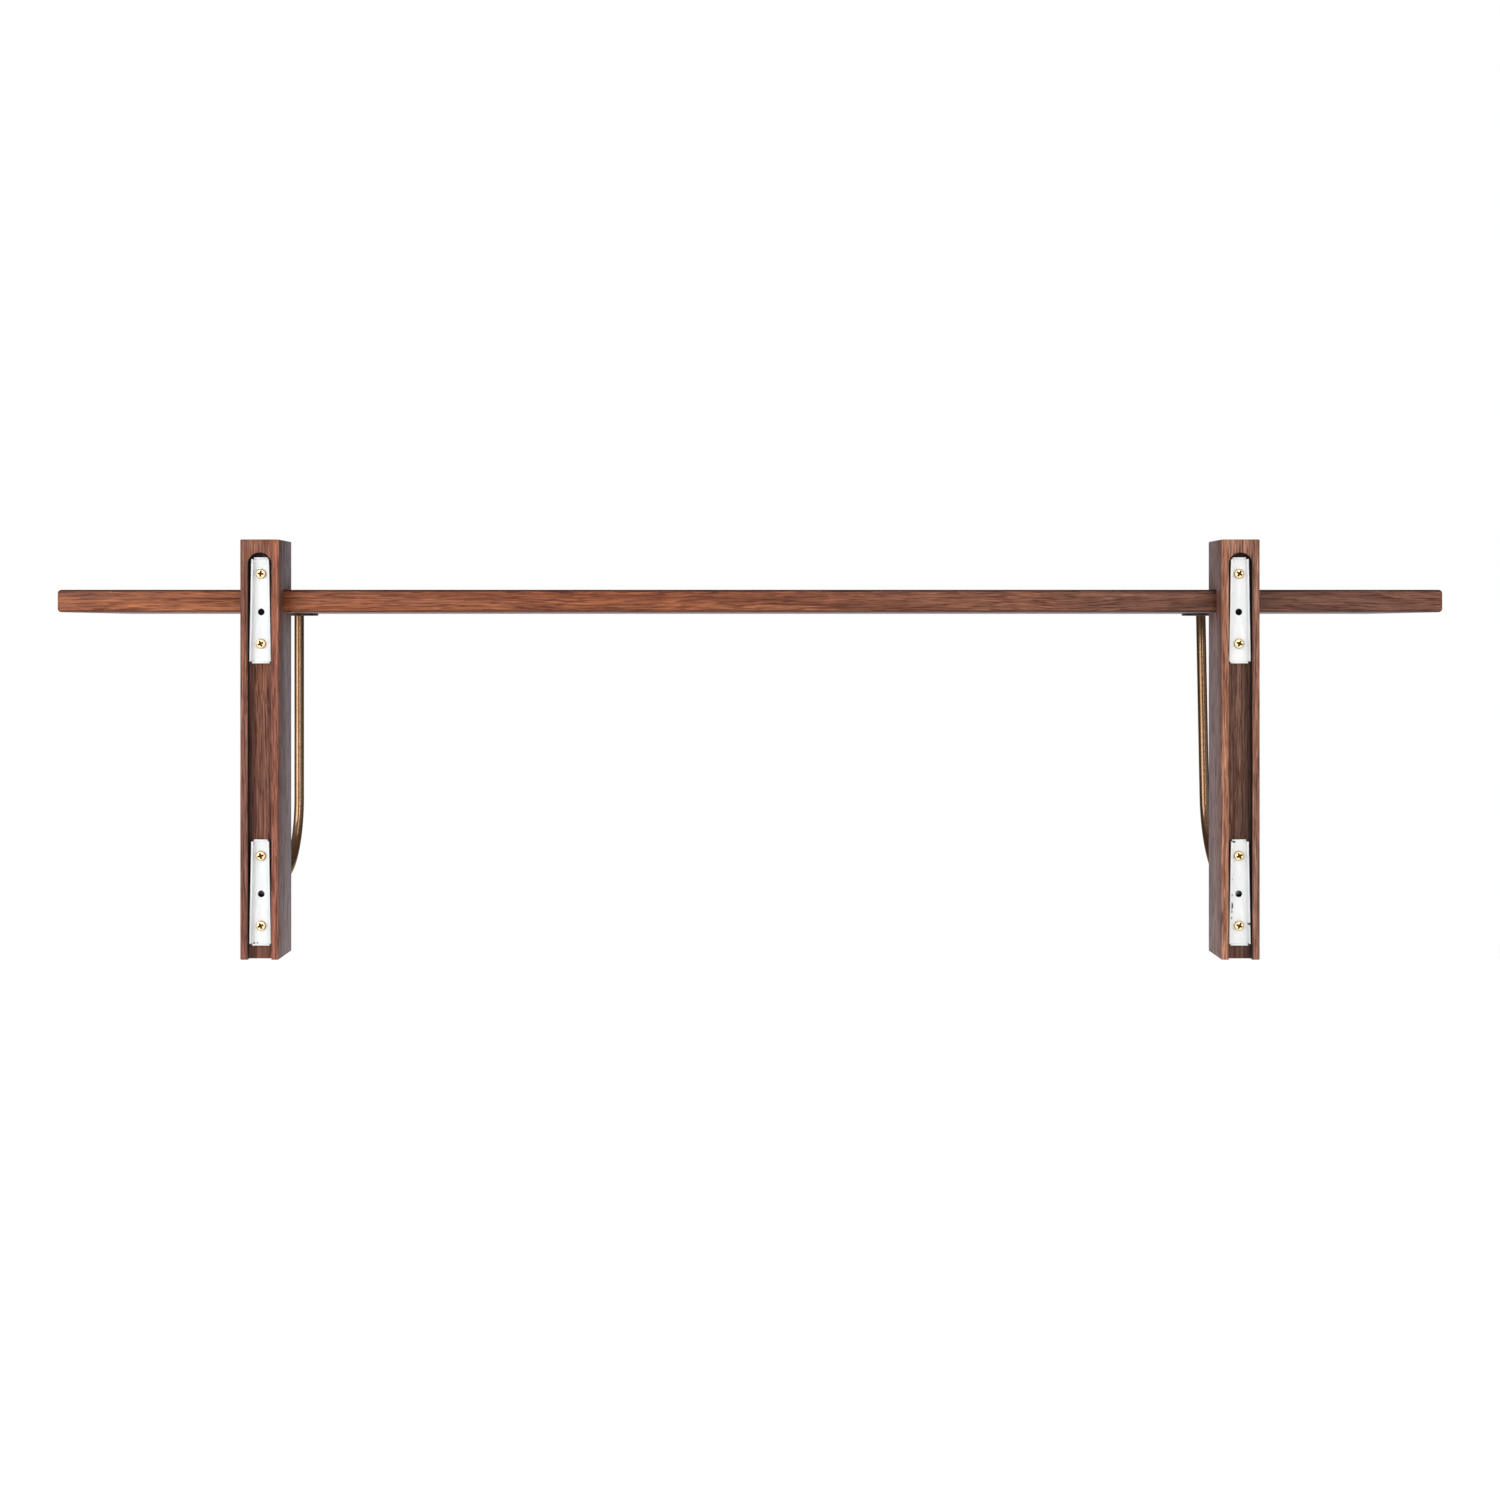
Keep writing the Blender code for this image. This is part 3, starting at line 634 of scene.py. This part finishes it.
def white_paint(name, origin, chips):
    """Glossy white paint over dark steel, with specks and chips. CHIPS says what a chip is."""
    graph = Graph(name)
    place = graph.place()
    ragged = graph.noise(place, (1600, 1600, 1600), 2)
    cloud = graph.noise(place, (70, 70, 40), 3)
    peel = graph.noise(place, (700, 700, 700), 1)
    bare = graph.step(graph.noise(place, (800, 800, 500), 2, 0.6), 0.775, 0.80)
    for across, drop, width, height in chips:
        centre, scale = (origin.x + across, 0, origin.z - drop), (2 / width, 0, 2 / height)
        away = graph.add("VectorMath", {"operation": "SUBTRACT"}, {0: place, 1: centre})
        away = graph.add("VectorMath", {"operation": "MULTIPLY"}, {0: away, 1: scale})
        chip = graph.step(graph.total(graph.length(away), (ragged, 0.9)), 1.50, 1.35)
        bare = graph.either(bare, chip)
    aged = graph.step(cloud, 0.35, 0.70)
    colour = graph.mix(aged, (0.735, 0.742, 0.732), (0.695, 0.712, 0.706))
    colour = graph.mix(bare, colour, (0.045, 0.038, 0.034))
    roughness = graph.total(0.30, (cloud, 0.12), (bare, 0.35))
    height = graph.total(0.7, (peel, 0.06), (bare, -0.6))
    return graph.finish(colour, roughness, height, 0.00004)


# ---------------------------------------------------------------- assembly


def piece(node, mesh, material):
    """The visible piece that stands for one CAD node."""
    obj = bpy.data.objects.new(f"{node}_fine", mesh)
    bpy.context.scene.collection.objects.link(obj)
    mesh.materials.clear()
    mesh.materials.append(material)
    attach(obj, "root")
    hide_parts(node)


BOARD_LOOK = Walnut(
    seed=3.1, slope=-0.050, warm=(0.210, 0.057, 0.015), cool=(0.112, 0.039, 0.019),
    warm_at=0.30, cool_at=-0.45, routed=None, pale=None, flank=None,
)
# An upright's pale cheek is given as its side, -1 or 1 along X, and its tint
# The flank tint is painted sheen and shade on an upright's sides
UPRIGHT_LOOKS = {
    "right": Walnut(
        seed=7.7, slope=0.010, warm=(0.184, 0.062, 0.029), cool=(0.162, 0.058, 0.034),
        warm_at=0.02, cool_at=-0.25, routed=(0.92, 0.96, 1.00),
        pale=(-1, (1.3, 1.2, 1.15)), flank=(0.62, 0.82, 1.15),
    ),
    "left": Walnut(
        seed=12.4, slope=-0.012, warm=(0.232, 0.103, 0.060), cool=(0.208, 0.094, 0.056),
        warm_at=0.05, cool_at=-0.30, routed=(0.54, 0.54, 0.54),
        pale=(1, (1.38, 1.32, 1.15)), flank=(0.70, 0.66, 0.74),
    ),
}
METALS = {
    "flange_bronze": Metal(
        colour=(0.060, 0.040, 0.030), tarnish=(0.020, 0.014, 0.012), edge=(0.05, 0.03, 0.02),
        soot=(0.010, 0.008, 0.007), roughness=0.34, metallic=1.0,
    ),
    "fastener_zinc": Metal(
        colour=(0.30, 0.30, 0.31), tarnish=(0.16, 0.16, 0.16), edge=(0.22, 0.22, 0.22),
        soot=(0.02, 0.02, 0.02), roughness=0.32, metallic=1.0,
    ),
    "screw_brass": Metal(
        colour=(0.95, 0.80, 0.50), tarnish=(0.86, 0.62, 0.30), edge=(0.46, 0.22, 0.06),
        soot=(0.150, 0.052, 0.008), roughness=0.34, metallic=0.75,
    ),
}
# Chips in the paint, as (across, drop, width, height) from the middle of the plate's top edge
CHIPS = {
    ("left", "lower"): (
        (0.0044, 0.0022, 0.0034, 0.0016),
        (0.0062, 0.0342, 0.0014, 0.0016),
        (0.0061, 0.0480, 0.0015, 0.0026),
        (0.0060, 0.0572, 0.0021, 0.0060),
        (0.0062, 0.0622, 0.0016, 0.0024),
        (0.0065, 0.0676, 0.0014, 0.0020),
        (-0.0082, 0.0722, 0.0017, 0.0024),
    ),
    ("right", "lower"): (
        (0.0060, 0.0890, 0.0020, 0.0012),
        (0.0032, 0.0890, 0.0016, 0.0010),
    ),
}


def build_wood():
    material = walnut("board_walnut", 0, BOARD_LOOK, *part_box("shelf_board"))
    piece("shelf_board", frame_copy("shelf_board", BOARD_EASING), material)
    for side in SIDES:
        node = f"{side}_upright"
        plate_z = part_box(f"{side}_upper_hanger")[1].z
        channel = (plate_z - CHANNEL_END_DROP, plate_z)
        material = walnut(f"{node}_walnut", 2, UPRIGHT_LOOKS[side], *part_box(node), channel)
        piece(node, frame_copy(node, UPRIGHT_EASING), material)


def build_rods(bronze, zinc):
    for side in SIDES:
        piece(f"{side}_rod", rod_mesh(side), antique_brass(f"{side}_rod_brass"))
        node = f"{side}_rod_flange"
        piece(node, frame_copy(node, FLANGE_EASING), bronze)
        for number in (1, 2, 3):
            node = f"{side}_flange_screw_{number}"
            screw = screw_mesh(node, FLANGE_SCREW, TO_FLOOR, 25 * number)
            piece(node, screw, bronze)
        node = f"{side}_rod_washer"
        piece(node, frame_copy(node, WASHER_EASING), zinc)
        node = f"{side}_rod_bolt"
        piece(node, screw_mesh(node, ROD_BOLT, TO_WALL, 12), zinc)
        node = f"{side}_board_screw"
        piece(node, screw_mesh(node, BOARD_SCREW, TO_WALL, 33), zinc)


def build_hangers(brass):
    for side in SIDES:
        for level in LEVELS:
            node = f"{side}_{level}_hanger"
            low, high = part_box(node)
            origin = Vector(((low.x + high.x) / 2, 0, high.z))
            paint = white_paint(f"{node}_paint", origin, CHIPS.get((side, level), ()))
            piece(node, hanger_mesh(node), paint)
            for end, turn in CROSS_TURNS[side, level].items():
                screw = f"{node}_screw_{end}"
                piece(screw, screw_mesh(screw, HANGER_SCREW, TO_WALL, turn), brass)


# ---------------------------------------------------------------- studio


def build_softbox(box):
    """A soft rectangular light, hidden from the camera. Its rays are diffuse, glossy or both."""
    light = bpy.data.lights.new(box.name, "AREA")
    light.shape = "RECTANGLE"
    light.size, light.size_y = box.size
    light.energy = box.power
    light.color = box.colour
    obj = bpy.data.objects.new(box.name, light)
    bpy.context.scene.collection.objects.link(obj)
    obj.location = box.place
    aim = Vector(box.target) - Vector(box.place)
    obj.rotation_euler = aim.to_track_quat("-Z", "Y").to_euler()
    obj.visible_camera = False
    obj.visible_glossy = box.rays != "diffuse"
    obj.visible_diffuse = box.rays != "glossy"


def build_world():
    """White to the camera. To all else, a dim room, bright behind the camera and past the shelf."""
    world = bpy.data.worlds.new("studio")
    bpy.context.scene.world = world
    world.use_nodes = True
    tree = world.node_tree
    tree.nodes.clear()
    kinds = (
        "TexCoord", "SeparateXYZ", "MapRange", "ValToRGB", "Background", "LightPath", "MixShader",
        "OutputWorld",
    )
    made = {kind: tree.nodes.new(f"ShaderNode{kind}") for kind in kinds}
    backdrop = tree.nodes.new("ShaderNodeBackground")
    backdrop.inputs["Color"].default_value = (1, 1, 1, 1)
    made["MapRange"].inputs["From Min"].default_value = -1.0
    ramp = made["ValToRGB"].color_ramp
    for place, shade in ROOM_STOPS:
        stop = ramp.elements.new(place)
        tint = BACKDROP_TINT if place < BACKDROP_END else ROOM_TINT
        stop.color = (*(shade * channel for channel in tint), 1)
    ramp.elements.remove(ramp.elements[0])
    ramp.elements.remove(ramp.elements[-1])
    for start, end in (
        (made["TexCoord"].outputs["Generated"], made["SeparateXYZ"].inputs[0]),
        (made["SeparateXYZ"].outputs["Y"], made["MapRange"].inputs["Value"]),
        (made["MapRange"].outputs[0], made["ValToRGB"].inputs[0]),
        (made["ValToRGB"].outputs[0], made["Background"].inputs["Color"]),
        (made["LightPath"].outputs["Is Camera Ray"], made["MixShader"].inputs[0]),
        (made["Background"].outputs[0], made["MixShader"].inputs[1]),
        (backdrop.outputs[0], made["MixShader"].inputs[2]),
        (made["MixShader"].outputs[0], made["OutputWorld"].inputs[0]),
    ):
        tree.links.new(start, end)


def build_floor():
    """A white floor well below the shelf, as bright as the backdrop. Diffuse rays don't see it."""
    half, z = FLOOR_SIZE / 2, cad_box[0].z - FLOOR_DROP
    bm = bmesh.new()
    corners = ((-half, -half), (half, -half), (half, half), (-half, half))
    bm.faces.new([bm.verts.new((x, y, z)) for x, y in corners])
    graph = Graph("floor_white")
    speckle = graph.noise(graph.place(), (30, 30, 30), 3)
    colour = graph.mix(speckle, (0.86, 0.86, 0.85), (0.90, 0.90, 0.89))
    lit = {"Emission_Color": (1, 1, 1, 1), "Emission_Strength": 1.0}
    mesh = mesh_of("floor", bm)
    mesh.materials.append(graph.finish(colour, 0.8, speckle, 0.0005, **lit))
    floor = bpy.data.objects.new("floor", mesh)
    bpy.context.scene.collection.objects.link(floor)
    floor.visible_diffuse = False


def build_camera():
    data = bpy.data.cameras.new("camera")
    data.sensor_width = 36.0
    data.lens = CAMERA_LENS
    data.shift_y = CAMERA_SHIFT
    camera = bpy.data.objects.new("camera", data)
    bpy.context.scene.collection.objects.link(camera)
    camera.location = (0, CAMERA_Y, CAMERA_Z)
    camera.rotation_euler = (math.pi / 2, 0, math.pi)
    bpy.context.scene.camera = camera


def build_studio():
    build_world()
    build_floor()
    build_camera()
    for box in SOFTBOXES:
        build_softbox(box)
    view = bpy.context.scene.view_settings
    view.view_transform = "Standard"
    view.look = "None"


def main():
    metals = {name: plain_metal(name, look) for name, look in METALS.items()}
    build_wood()
    build_rods(metals["flange_bronze"], metals["fastener_zinc"])
    build_hangers(metals["screw_brass"])
    build_studio()


main()
